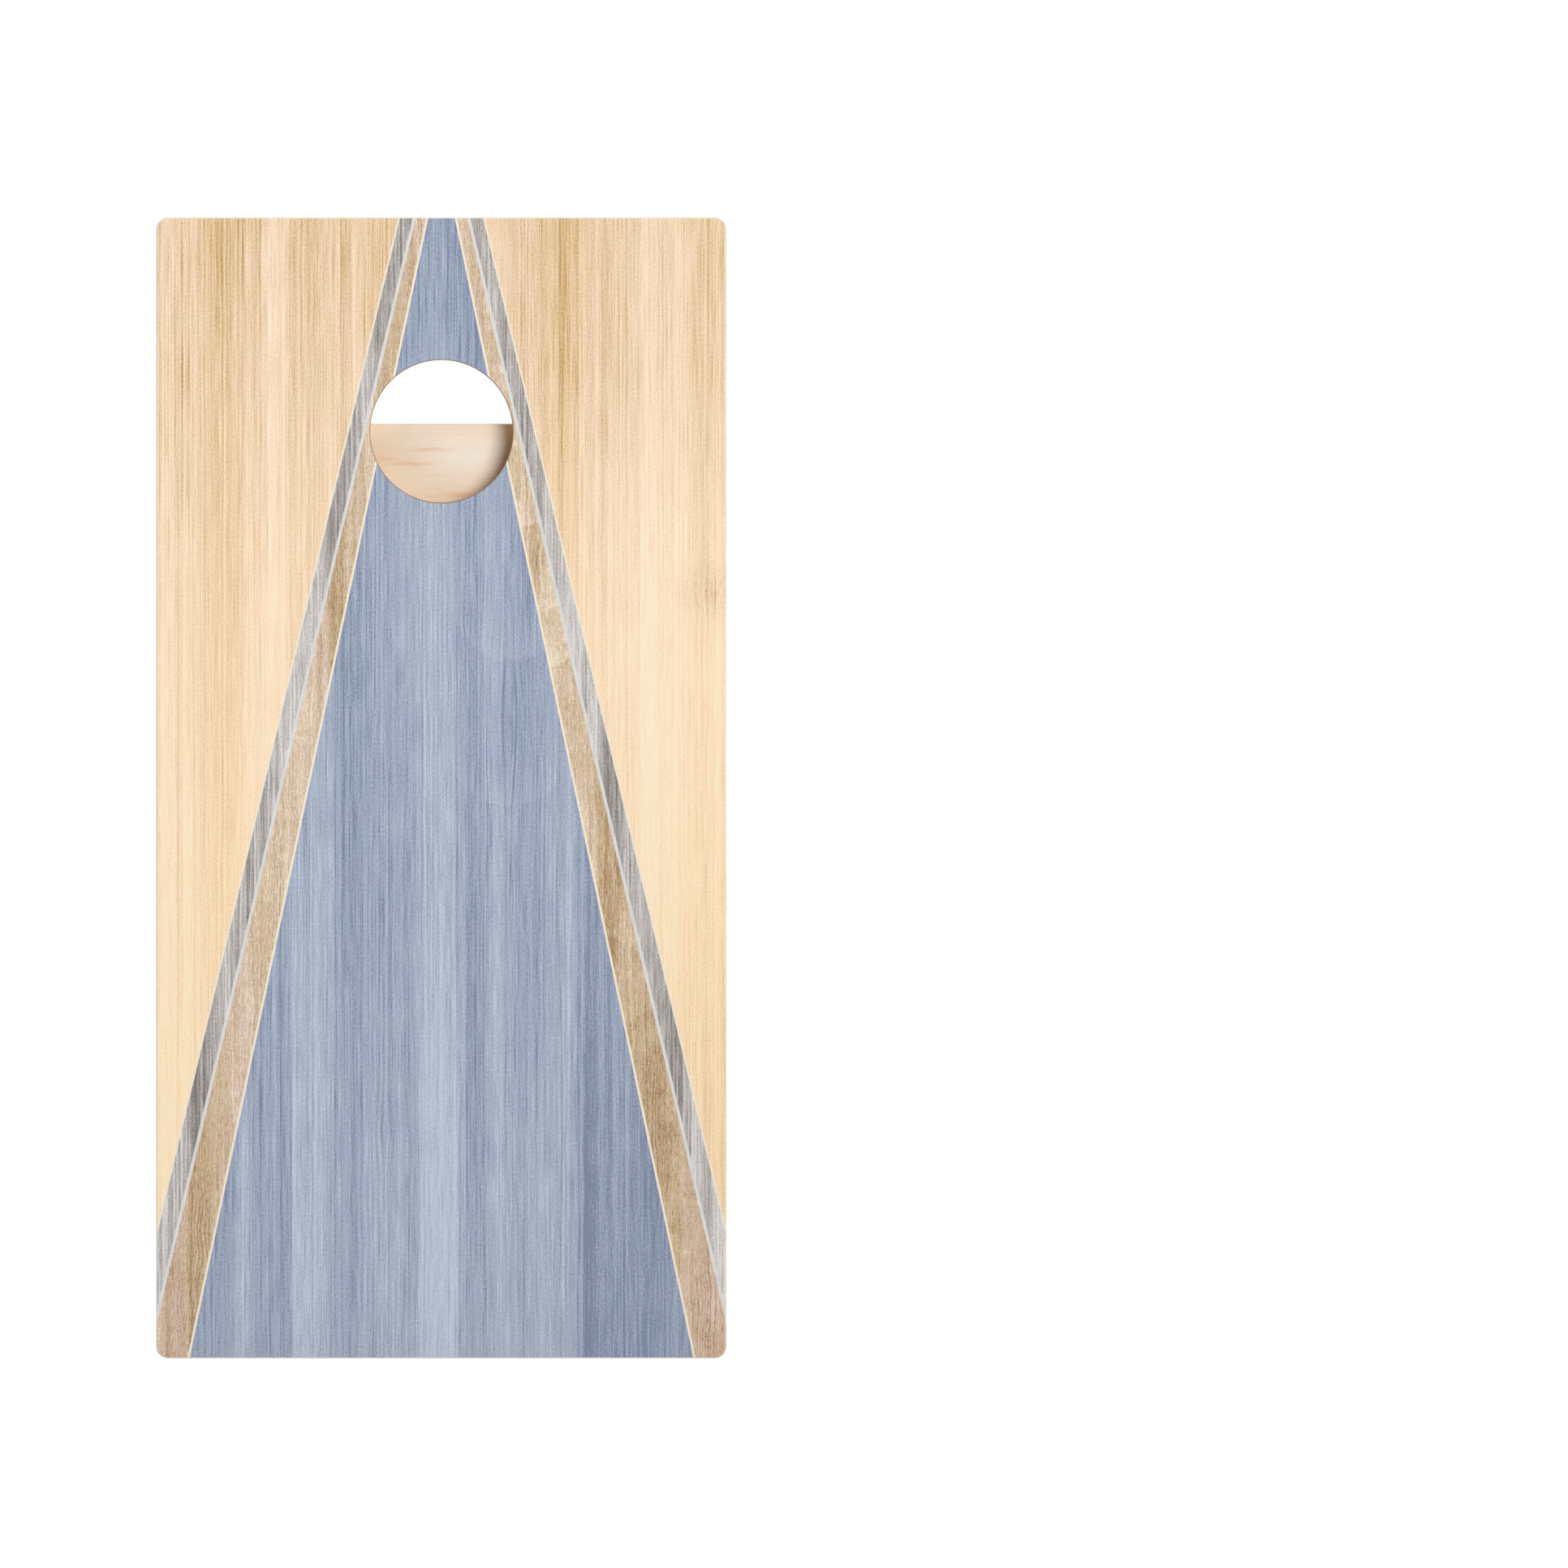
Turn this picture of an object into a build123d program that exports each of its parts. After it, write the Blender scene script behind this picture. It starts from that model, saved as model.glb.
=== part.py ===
"""Cornhole board with fold-away legs, millimetres.

The board stands on its front end with the bag hole at the top and the playing face
towards -Y. X runs across the board and Z along it. The origin is on the floor, in the
middle of the board's width and depth. The legs hang folded inside the frame.
"""

from build123d import *
import math
import os

os.makedirs("parts", exist_ok=True)

# ---------------------------------------------------------------- driving dimensions

# Regulation board
board_width = 609.6
board_length = 1219.2
corner_radius = 12.7
hole_radius = 76.2
hole_from_rear = 228.6
rear_height_in_play = 304.8

# Playing surface: plywood with a printed film
deck_thickness = 12.7
deck_edge_round = 1.0
film_thickness = 0.3

# Planed lumber, nominal two by four
lumber_thickness = 38.1
lumber_width = 88.9
lumber_ease = 2.5

# Legs
leg_width = 85.7
leg_ease = 2.0
leg_to_rear_rail = 0.5
brace_above_foot = 10.0

# Pivot hardware, 3/8 in
bolt_radius = 4.7625
bolt_length = 101.6
bolt_head_radius = 10.7
bolt_head_height = 4.8
bolt_head_rim = 1.0
bolt_neck_width = 9.8
bolt_neck_depth = 5.2
bolt_tip_chamfer = 1.0
head_pocket_radius = 12.7
head_pocket_depth = 6.35
washer_bore_radius = 5.15
spacer_radius = 12.7
spacer_thickness = 1.6
clamp_radius = 19.05
clamp_thickness = 2.0
shank_clearance = 0.05
running_clearance = 0.08

# Wing nut
nut_base_radius = 8.7
nut_top_radius = 7.0
nut_height = 10.5
wing_thickness = 3.4
wing_tip_reach = 17.0
wing_tip_height = 15.5
wing_tip_radius = 5.2
wing_root_reach = 5.6
wing_root_width = 2.1
wing_root_height = 8.4
left_nut_turn = 28.0
right_nut_turn = -52.0

# Flat-head screws, square drive
screw_radius = 2.4
screw_head_radius = 4.6
screw_head_angle = 82.0
screw_point = 5.0
drive_width = 2.9
drive_depth = 2.4
corner_screw_length = 76.2
brace_screw_length = 63.5
screw_pair_spacing = 45.0
leg_screw_spacing = 48.0

# Pocket screws, from the frame into the underside of the deck
pocket_tilt = 15.0
pocket_radius = 4.75
pocket_reach = 52.0
pocket_screw_length = 31.75
pocket_screw_radius = 2.1
pocket_head_radius = 4.4
pocket_head_height = 2.4
pocket_head_top_radius = 3.1
pocket_head_rim = 1.0
pocket_bite = 10.0
pocket_exit_inset = 12.7
side_pocket_heights = (110.0, 430.0, 790.0, 1050.0)
end_pocket_offset = 130.0
centre_pocket_offset = 150.0

# ---------------------------------------------------------------- derived places

half_width = board_width / 2
total_depth = film_thickness + deck_thickness + lumber_width
deck_front = film_thickness - total_depth / 2
deck_back = deck_front + deck_thickness
frame_back = deck_back + lumber_width
rail_middle = deck_back + lumber_width / 2
hole_height = board_length - hole_from_rear
centre_height = board_length / 2

# A side rail's inner face, and a leg's two faces, measured from the middle of the board
rail_inner = half_width - lumber_thickness
leg_outer = rail_inner - spacer_thickness
leg_inner = leg_outer - lumber_thickness
nut_seat = leg_inner - clamp_thickness
head_seat = half_width - head_pocket_depth

# The leg turns about its bolt and stops square to the deck, against the rear end rail.
leg_radius = leg_width / 2
pivot_height = board_length - lumber_thickness - leg_to_rear_rail - leg_radius

# Slope of the board in play, with its rear top edge at the regulation height
slope = math.asin(rear_height_in_play / math.hypot(board_length, total_depth))
slope = slope - math.atan2(total_depth, board_length)
ground_at_pivot = total_depth + pivot_height * math.tan(slope)
leg_drop = ground_at_pivot - (rail_middle + total_depth / 2)
foot_rise = leg_radius * math.tan(slope)
foot_height = pivot_height - leg_drop
brace_middle = foot_height + brace_above_foot + lumber_width / 2

screw_head_height = (screw_head_radius - screw_radius) / math.tan(math.radians(screw_head_angle / 2))


def across(depth):
    """A plane parallel to the deck at this Y, facing the player."""
    return Plane.XZ.offset(-depth)


# ---------------------------------------------------------------- where screws go

# Each plane sits where a screw's head starts, with its normal pointing out of the wood.


def side_planes(distance, heights, spacing):
    """Pairs of screws driven inwards through both sides, one pair at each height."""
    return [
        Plane(origin=(side * distance, rail_middle + offset, height), z_dir=(side, 0, 0))
        for side in (-1, 1)
        for height in heights
        for offset in (-spacing / 2, spacing / 2)
    ]


def leg_screw_planes(side):
    """Two screws through a leg into the end of the cross brace, one above the other."""
    return [
        Plane(origin=(side * leg_outer, rail_middle, brace_middle + offset), z_dir=(side, 0, 0))
        for offset in (-leg_screw_spacing / 2, leg_screw_spacing / 2)
    ]


def pocket_plane(x, z, inward_x, inward_z):
    """The outer end of a slanted pocket on a face whose inward normal is given."""
    lean = math.sin(math.radians(pocket_tilt))
    rise = math.cos(math.radians(pocket_tilt))
    start_x = x - inward_x * pocket_exit_inset
    start_z = z - inward_z * pocket_exit_inset
    seat = pocket_screw_length - pocket_bite / rise
    reach = seat + pocket_reach
    origin = (
        start_x + inward_x * lean * reach,
        deck_back + rise * reach,
        start_z + inward_z * lean * reach,
    )
    return Plane(origin=origin, z_dir=(inward_x * lean, rise, inward_z * lean))


end_screw_heights = (lumber_thickness / 2, board_length - lumber_thickness / 2)
corner_planes = side_planes(half_width, end_screw_heights, screw_pair_spacing)
centre_planes = side_planes(half_width, [centre_height], screw_pair_spacing)

left_pockets = [pocket_plane(-rail_inner, height, 1, 0) for height in side_pocket_heights]
right_pockets = [pocket_plane(rail_inner, height, -1, 0) for height in side_pocket_heights]
front_face = lumber_thickness
rear_face = board_length - lumber_thickness
centre_face = centre_height - lumber_thickness / 2
front_pockets = [pocket_plane(side * end_pocket_offset, front_face, 0, 1) for side in (-1, 1)]
rear_pockets = [pocket_plane(side * end_pocket_offset, rear_face, 0, -1) for side in (-1, 1)]
centre_pockets = [pocket_plane(side * centre_pocket_offset, centre_face, 0, -1) for side in (-1, 1)]
all_pockets = left_pockets + right_pockets + front_pockets + rear_pockets + centre_pockets


def screw_holes(planes, length):
    """Countersunk holes that the flat-head screws fill."""
    with Locations(*planes):
        CounterSinkHole(
            radius=screw_radius + shank_clearance,
            counter_sink_radius=screw_head_radius + shank_clearance,
            depth=length,
            counter_sink_angle=screw_head_angle,
        )


def pocket_holes(planes):
    """Slanted pockets with a shank hole that runs on into the deck."""
    with Locations(*planes):
        CounterBoreHole(
            radius=pocket_screw_radius + shank_clearance,
            counter_bore_radius=pocket_radius,
            counter_bore_depth=pocket_reach,
            depth=pocket_reach + pocket_screw_length,
        )


# ---------------------------------------------------------------- deck and film

with BuildPart() as deck_panel:
    with BuildSketch(across(deck_back)):
        with Locations((0, centre_height)):
            RectangleRounded(board_width, board_length, corner_radius)
        with Locations((0, hole_height)):
            Circle(hole_radius, mode=Mode.SUBTRACT)
    extrude(amount=deck_thickness)
    fillet(deck_panel.faces().sort_by(Axis.Y)[0].edges(), radius=deck_edge_round)
    pocket_holes(all_pockets)
deck_panel.part.label = "deck_panel"
export_step(deck_panel.part, "parts/deck_panel.step")

with BuildPart() as deck_graphic:
    with BuildSketch(across(deck_front)):
        with Locations((0, centre_height)):
            RectangleRounded(
                board_width - 2 * deck_edge_round,
                board_length - 2 * deck_edge_round,
                corner_radius - deck_edge_round,
            )
        with Locations((0, hole_height)):
            Circle(hole_radius + deck_edge_round, mode=Mode.SUBTRACT)
    extrude(amount=film_thickness)
deck_graphic.part.label = "deck_graphic"
export_step(deck_graphic.part, "parts/deck_graphic.step")

# ---------------------------------------------------------------- frame


def side_rail(side, label, pockets):
    """A full-length side with its outer corners rounded to match the deck's."""
    middle = side * (half_width - lumber_thickness / 2)
    bolt_plane = Plane(origin=(side * half_width, rail_middle, pivot_height), z_dir=(side, 0, 0))
    with BuildPart() as rail:
        with BuildSketch(across(frame_back)) as outline:
            with Locations((middle, centre_height)):
                Rectangle(lumber_thickness, board_length)
            outer_corners = outline.vertices().group_by(Axis.X)[0 if side < 0 else -1]
            fillet(outer_corners, radius=corner_radius)
        extrude(amount=lumber_width)
        fillet(rail.faces().filter_by(Axis.Y).edges(), radius=lumber_ease)
        with Locations(bolt_plane):
            CounterBoreHole(
                radius=bolt_radius + shank_clearance,
                counter_bore_radius=head_pocket_radius,
                counter_bore_depth=head_pocket_depth,
            )
        with BuildSketch(bolt_plane.offset(-head_pocket_depth)):
            Rectangle(bolt_neck_width, bolt_neck_width)
        extrude(amount=-bolt_neck_depth, mode=Mode.SUBTRACT)
        screw_holes(corner_planes, corner_screw_length)
        screw_holes(centre_planes, corner_screw_length)
        pocket_holes(pockets)
    rail.part.label = label
    export_step(rail.part, f"parts/{label}.step")


def cross_rail(height, label, screw_planes, pockets):
    """A crosswise board between the side rails, centred at this height."""
    with BuildPart() as rail:
        with BuildSketch(across(frame_back)):
            with Locations((0, height)):
                Rectangle(2 * rail_inner, lumber_thickness)
        extrude(amount=lumber_width)
        fillet(rail.edges().filter_by(Axis.X), radius=lumber_ease)
        screw_holes(screw_planes, corner_screw_length)
        pocket_holes(pockets)
    rail.part.label = label
    export_step(rail.part, f"parts/{label}.step")


side_rail(-1, "side_rail_left", left_pockets)
side_rail(1, "side_rail_right", right_pockets)
cross_rail(end_screw_heights[0], "front_end_rail", corner_planes, front_pockets)
cross_rail(end_screw_heights[1], "rear_end_rail", corner_planes, rear_pockets)
cross_rail(centre_height, "centre_brace", centre_planes, centre_pockets)

# ---------------------------------------------------------------- legs


def leg(side, label):
    """A leg hanging from its bolt, its foot cut to stand flat when the board is in play."""
    back_y = rail_middle + leg_radius
    front_y = rail_middle - leg_radius
    with BuildPart() as post:
        with BuildSketch(Plane.YZ.offset(side * leg_outer)):
            with BuildLine():
                Line((back_y, pivot_height), (back_y, foot_height - foot_rise))
                Line((back_y, foot_height - foot_rise), (front_y, foot_height + foot_rise))
                Line((front_y, foot_height + foot_rise), (front_y, pivot_height))
                ThreePointArc(
                    (front_y, pivot_height),
                    (rail_middle, pivot_height + leg_radius),
                    (back_y, pivot_height),
                )
            make_face()
        extrude(amount=-side * lumber_thickness)
        fillet(post.faces().filter_by(Axis.X).edges(), radius=leg_ease)
        with Locations(Plane(origin=(side * leg_outer, rail_middle, pivot_height), z_dir=(side, 0, 0))):
            Hole(radius=bolt_radius + running_clearance)
        screw_holes(leg_screw_planes(side), brace_screw_length)
    post.part.label = label
    export_step(post.part, f"parts/{label}.step")


leg(-1, "leg_left")
leg(1, "leg_right")

with BuildPart() as leg_cross_brace:
    with BuildSketch(across(rail_middle + lumber_thickness / 2)):
        with Locations((0, brace_middle)):
            Rectangle(2 * leg_inner, lumber_width)
    extrude(amount=lumber_thickness)
    fillet(leg_cross_brace.edges().filter_by(Axis.X), radius=lumber_ease)
    screw_holes(leg_screw_planes(-1) + leg_screw_planes(1), brace_screw_length)
leg_cross_brace.part.label = "leg_cross_brace"
export_step(leg_cross_brace.part, "parts/leg_cross_brace.step")

# ---------------------------------------------------------------- screws


def flat_head_screw(length):
    """A screw along -Z, its flat head level with Z = 0, with a square drive."""
    with BuildPart() as screw:
        with BuildSketch(Plane.XZ):
            with BuildLine():
                Polyline(
                    (0, 0),
                    (screw_head_radius, 0),
                    (screw_radius, -screw_head_height),
                    (screw_radius, screw_point - length),
                    (0, -length),
                    close=True,
                )
            make_face()
        revolve(axis=Axis.Z)
        with BuildSketch(Plane.XY):
            Rectangle(drive_width, drive_width)
        extrude(amount=-drive_depth, mode=Mode.SUBTRACT)
    return screw.part


def pocket_screw():
    """A screw along -Z with a flat-bottomed round head that starts at Z = 0."""
    with BuildPart() as screw:
        with BuildSketch(Plane.XZ):
            with BuildLine():
                Polyline(
                    (0, pocket_head_height),
                    (pocket_head_top_radius, pocket_head_height),
                    (pocket_head_radius, pocket_head_rim),
                    (pocket_head_radius, 0),
                    (pocket_screw_radius, 0),
                    (pocket_screw_radius, screw_point - pocket_screw_length),
                    (0, -pocket_screw_length),
                    close=True,
                )
            make_face()
        revolve(axis=Axis.Z)
        with BuildSketch(Plane.XY.offset(pocket_head_height)):
            Rectangle(drive_width, drive_width)
        extrude(amount=-drive_depth, mode=Mode.SUBTRACT)
    return screw.part


def place_all(shape, planes, label):
    """One node of separate, identical solids, one on each plane."""
    with BuildPart() as group:
        with Locations(*planes):
            add(shape)
    group.part.label = label
    export_step(group.part, f"parts/{label}.step")


place_all(flat_head_screw(corner_screw_length), corner_planes, "frame_corner_screws")
place_all(flat_head_screw(corner_screw_length), centre_planes, "centre_brace_screws")
both_leg_planes = leg_screw_planes(-1) + leg_screw_planes(1)
place_all(flat_head_screw(brace_screw_length), both_leg_planes, "leg_brace_screws")
pocket_seats = [plane.offset(-pocket_reach) for plane in all_pockets]
place_all(pocket_screw(), pocket_seats, "deck_pocket_screws")

# ---------------------------------------------------------------- pivot hardware


def carriage_bolt():
    """A domed bolt along -Z, with the underside of its head on Z = 0 and a square neck."""
    with BuildPart() as bolt:
        with BuildSketch(Plane.XZ):
            with BuildLine():
                dome = TangentArc((0, bolt_head_height), (bolt_head_radius, bolt_head_rim), tangent=(1, 0))
                Polyline(
                    dome @ 1,
                    (bolt_head_radius, 0),
                    (bolt_radius, 0),
                    (bolt_radius, bolt_tip_chamfer - bolt_length),
                    (bolt_radius - bolt_tip_chamfer, -bolt_length),
                    (0, -bolt_length),
                    dome @ 0,
                )
            make_face()
        revolve(axis=Axis.Z)
        with BuildSketch(Plane.XY):
            Rectangle(bolt_neck_width, bolt_neck_width)
        extrude(amount=-bolt_neck_depth)
    return bolt.part


def wing_nut():
    """A wing nut along Z that sits on Z = 0, with its two wings along X."""
    with BuildPart() as nut:
        with BuildSketch(Plane.XZ):
            with BuildLine():
                Polyline(
                    (0, 0),
                    (nut_base_radius, 0),
                    (nut_top_radius, nut_height),
                    (0, nut_height),
                    close=True,
                )
            make_face()
        revolve(axis=Axis.Z)
        for side in (-1, 1):
            with BuildSketch(Plane.XZ):
                with Locations((side * wing_tip_reach, wing_tip_height)):
                    Circle(wing_tip_radius)
                with Locations((side * wing_root_reach, nut_height / 2)):
                    Rectangle(wing_root_width, wing_root_height)
                make_hull()
            extrude(amount=wing_thickness / 2, both=True)
        with Locations(Plane.XY.offset(nut_height)):
            Hole(radius=bolt_radius + shank_clearance)
    return nut.part


def washer(radius, thickness, side, seat, label):
    """A flat washer on a pivot bolt, from this distance towards the middle of the board."""
    with BuildPart() as ring:
        with BuildSketch(Plane.YZ.offset(side * seat)):
            with Locations((rail_middle, pivot_height)):
                Circle(radius)
                Circle(washer_bore_radius, mode=Mode.SUBTRACT)
        extrude(amount=-side * thickness)
    ring.part.label = label
    export_step(ring.part, f"parts/{label}.step")


def pivot_plane(side, distance, outward, turn):
    """A plane on the pivot's axis, facing out of the board or in, turned about the axis."""
    lean = math.radians(turn)
    return Plane(
        origin=(side * distance, rail_middle, pivot_height),
        x_dir=(0, math.sin(lean), math.cos(lean)),
        z_dir=(side if outward else -side, 0, 0),
    )


for side, hand, nut_turn in ((-1, "left", left_nut_turn), (1, "right", right_nut_turn)):
    place_all(carriage_bolt(), [pivot_plane(side, head_seat, True, 0)], f"carriage_bolt_{hand}")
    washer(spacer_radius, spacer_thickness, side, rail_inner, f"spacer_washer_{hand}")
    washer(clamp_radius, clamp_thickness, side, leg_inner, f"clamp_washer_{hand}")
    place_all(wing_nut(), [pivot_plane(side, nut_seat, False, nut_turn)], f"wing_nut_{hand}")
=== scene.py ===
"""Looks for the cornhole board: the printed deck, the timber, the hardware and the studio.

Metres throughout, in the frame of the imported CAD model: Z up the board, -Y out of the
playing face. The print is cut into one thin piece for each colour of its design.
"""

import math

import bmesh
import bpy
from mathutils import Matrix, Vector

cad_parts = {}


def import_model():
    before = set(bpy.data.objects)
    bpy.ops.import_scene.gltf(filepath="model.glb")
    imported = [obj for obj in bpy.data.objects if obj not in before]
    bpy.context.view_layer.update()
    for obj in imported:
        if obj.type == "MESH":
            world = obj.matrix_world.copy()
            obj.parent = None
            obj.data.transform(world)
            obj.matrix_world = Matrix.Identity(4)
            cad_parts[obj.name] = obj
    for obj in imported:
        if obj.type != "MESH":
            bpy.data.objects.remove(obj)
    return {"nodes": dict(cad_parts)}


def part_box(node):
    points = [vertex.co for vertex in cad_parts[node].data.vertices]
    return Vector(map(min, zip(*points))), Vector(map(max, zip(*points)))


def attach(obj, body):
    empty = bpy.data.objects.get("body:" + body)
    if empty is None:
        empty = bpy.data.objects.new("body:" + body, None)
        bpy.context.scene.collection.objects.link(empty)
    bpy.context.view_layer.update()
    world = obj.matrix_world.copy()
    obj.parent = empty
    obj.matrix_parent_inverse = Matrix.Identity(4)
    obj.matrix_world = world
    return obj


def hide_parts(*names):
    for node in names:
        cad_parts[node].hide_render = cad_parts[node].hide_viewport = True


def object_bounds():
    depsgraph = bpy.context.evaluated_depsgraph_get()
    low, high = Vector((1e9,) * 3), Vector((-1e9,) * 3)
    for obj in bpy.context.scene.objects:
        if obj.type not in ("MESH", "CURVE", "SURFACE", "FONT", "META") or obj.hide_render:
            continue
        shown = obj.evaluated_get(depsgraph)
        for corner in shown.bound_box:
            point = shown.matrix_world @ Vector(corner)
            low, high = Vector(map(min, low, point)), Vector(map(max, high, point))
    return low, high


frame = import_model()
cad_low, cad_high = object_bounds()

deck_low, deck_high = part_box("deck_panel")
board_top = deck_high.z
board_width = deck_high.x - deck_low.x
hole_from_rear = 0.2286
hole_height = board_top - hole_from_rear

# ---------------------------------------------------------------- shader arithmetic


class Field:
    """A value that varies over a surface. Ordinary arithmetic on it adds math nodes."""

    def __init__(self, paint, socket):
        self.paint = paint
        self.socket = socket

    def math(self, operation, other=0.0, clamp=False):
        return self.paint.math(operation, self, other, clamp)

    def __add__(self, other):
        return self.math("ADD", other)

    def __sub__(self, other):
        return self.math("SUBTRACT", other)

    def __rsub__(self, other):
        return self.paint.math("SUBTRACT", other, self)

    def __mul__(self, other):
        return self.math("MULTIPLY", other)

    def __truediv__(self, other):
        return self.math("DIVIDE", other)

    __radd__ = __add__
    __rmul__ = __mul__

    def clamped(self):
        return self.math("ADD", 0.0, clamp=True)


class Paint:
    """A material in the making, with one method for each kind of node it uses."""

    def __init__(self, name):
        self.material = bpy.data.materials.new(name)
        self.material.use_nodes = True
        self.tree = self.material.node_tree
        self.surface = self.tree.nodes["Principled BSDF"]
        place = self.add("ShaderNodeTexCoord").outputs["Object"]
        parts = self.add("ShaderNodeSeparateXYZ")
        self.tree.links.new(place, parts.inputs[0])
        self.x, self.y, self.z = (Field(self, parts.outputs[i]) for i in range(3))

    def add(self, kind, **settings):
        node = self.tree.nodes.new(kind)
        for name, value in settings.items():
            setattr(node, name, value)
        return node

    def feed(self, socket, value):
        """Sets a socket to a plain value, or links it to a field."""
        if isinstance(value, Field):
            self.tree.links.new(value.socket, socket)
        else:
            socket.default_value = value

    def math(self, operation, first, second=0.0, clamp=False):
        node = self.add("ShaderNodeMath", operation=operation, use_clamp=clamp)
        self.feed(node.inputs[0], first)
        self.feed(node.inputs[1], second)
        return Field(self, node.outputs[0])

    def vector(self, x, y, z):
        node = self.add("ShaderNodeCombineXYZ")
        for socket, value in zip(node.inputs, (x, y, z)):
            self.feed(socket, value)
        return Field(self, node.outputs[0])

    def noise(self, x, y, z, detail=1.0, roughness=0.5):
        """Smooth noise about zero, mostly within 0.25 of it. One unit is one lump."""
        node = self.add("ShaderNodeTexNoise")
        self.feed(node.inputs["Vector"], self.vector(x, y, z))
        self.feed(node.inputs["Scale"], 1.0)
        self.feed(node.inputs["Detail"], detail)
        self.feed(node.inputs["Roughness"], roughness)
        return Field(self, node.outputs[0]) - 0.5

    def seen_by_camera(self):
        """1 where the camera looks straight at the surface, 0 for light that bounces off it."""
        return Field(self, self.add("ShaderNodeLightPath").outputs["Is Camera Ray"])

    def ramp(self, value, stops):
        """A grey or a colour looked up by value, from (position, grey or sRGB) stops."""
        node = self.add("ShaderNodeValToRGB")
        points = node.color_ramp.elements
        while len(points) < len(stops):
            points.new(1.0)
        for point, (position, tone) in zip(points, stops):
            grey = isinstance(tone, (int, float))
            point.position = position
            point.color = (tone, tone, tone, 1.0) if grey else linear(*tone)
        self.feed(node.inputs[0], value)
        return Field(self, node.outputs[0])

    def mix(self, share, first, second):
        """Goes from the first colour to the second as share goes from 0 to 1."""
        node = self.add("ShaderNodeMix", data_type="RGBA")
        colour_sockets = [s for s in node.inputs if s.type == "RGBA"]
        self.feed(node.inputs[0], share)
        self.feed(colour_sockets[0], first if isinstance(first, Field) else linear(*first))
        self.feed(colour_sockets[1], second if isinstance(second, Field) else linear(*second))
        return Field(self, [s for s in node.outputs if s.type == "RGBA"][0])

    def finish(self, colour=None, roughness=0.5, height=None, depth=0.0, **sockets):
        """Feeds the surface. height is a field in lumps, and depth its size in metres."""
        if colour is not None:
            self.feed(self.surface.inputs["Base Color"], colour)
        self.feed(self.surface.inputs["Roughness"], roughness)
        if height is not None:
            bump = self.add("ShaderNodeBump")
            self.feed(bump.inputs["Height"], height)
            self.feed(bump.inputs["Distance"], depth)
            self.feed(bump.inputs["Strength"], 1.0)
            self.tree.links.new(bump.outputs[0], self.surface.inputs["Normal"])
        for name, value in sockets.items():
            self.feed(self.surface.inputs[name.replace("_", " ")], value)
        return self.material


def linear(red, green, blue):
    """An sRGB colour in 0 to 255 as Blender's linear colour."""

    def channel(value):
        value = value / 255
        return value / 12.92 if value <= 0.04045 else ((value + 0.055) / 1.055) ** 2.4

    return (channel(red), channel(green), channel(blue), 1.0)


# ---------------------------------------------------------------- printed design

# Every border of the design is a straight line, the same on both sides. Each is given by
# its distance from the board's middle at the top edge and by how much it gains downwards.
BLUE_EDGE = (0.0140, 0.2093)
TAN_START = (0.0165, 0.2093)
TAN_EDGE = (0.0273, 0.2343)
GREY_START = (0.0307, 0.2343)
GREY_EDGE = (0.0443, 0.2389)
NATURAL_START = (0.0462, 0.2389)

# Tones of the printed woods, from the darkest streak to the lightest
NATURAL_TONES = (
    (0.0, (192, 148, 88)),
    (0.25, (221, 187, 137)),
    (0.5, (238, 208, 174)),
    (0.75, (255, 225, 193)),
    (1.0, (255, 237, 211)),
)
BLUE_TONES = (
    (0.0, (111, 125, 154)),
    (0.25, (140, 153, 177)),
    (0.5, (157, 169, 190)),
    (0.75, (172, 183, 203)),
    (1.0, (193, 202, 219)),
)
TAN_TONES = (
    (0.0, (148, 111, 64)),
    (0.3, (190, 160, 119)),
    (0.55, (208, 182, 148)),
    (0.8, (223, 202, 171)),
    (1.0, (240, 225, 198)),
)
GREY_TONES = (
    (0.0, (112, 104, 101)),
    (0.5, (173, 166, 162)),
    (1.0, (225, 220, 217)),
)

# The staves that each wood is glued up from: where across the board, and what tone.
# Two places a millimetre or two apart are a glue line.
BLUE_STAVES_FOOT = (
    (-0.300, 0.38),
    (-0.222, 0.44),
    (-0.215, 0.66),
    (-0.206, 0.66),
    (-0.202, 0.46),
    (-0.161, 0.36),
    (-0.159, 0.76),
    (-0.124, 0.66),
    (-0.122, 0.50),
    (-0.089, 0.38),
    (-0.087, 0.62),
    (-0.060, 0.54),
    (-0.0245, 0.56),
    (-0.0235, 0.82),
    (0.0165, 0.84),
    (0.0175, 0.56),
    (0.036, 0.44),
    (0.072, 0.64),
    (0.086, 0.50),
    (0.114, 0.66),
    (0.150, 0.44),
    (0.152, 0.10),
    (0.186, 0.32),
    (0.222, 0.22),
    (0.250, 0.38),
)
BLUE_STAVES_MIDDLE = (
    (-0.300, 0.36),
    (-0.162, 0.50),
    (-0.150, 0.76),
    (-0.124, 0.64),
    (-0.108, 0.46),
    (-0.106, 0.24),
    (-0.092, 0.30),
    (-0.080, 0.50),
    (-0.040, 0.44),
    (-0.018, 0.70),
    (0.014, 0.76),
    (0.016, 0.42),
    (0.034, 0.40),
    (0.056, 0.58),
    (0.090, 0.42),
    (0.114, 0.54),
    (0.140, 0.62),
    (0.160, 0.32),
    (0.190, 0.44),
    (0.250, 0.40),
)

# How the blue wood's tone changes up the board: height and tone
BLUE_HEIGHTS = (
    (0.0, 0.50),
    (0.25, 0.46),
    (0.62, 0.45),
    (0.85, 0.50),
    (1.05, 0.38),
    (1.2, 0.34),
)
# Small knots under its surface: middle and reach of each
BLUE_KNOTS = (
    ((0.072, 0.680), (0.030, 0.150)),
    ((-0.060, 0.242), (0.020, 0.060)),
    ((0.028, 0.790), (0.016, 0.050)),
)
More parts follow.
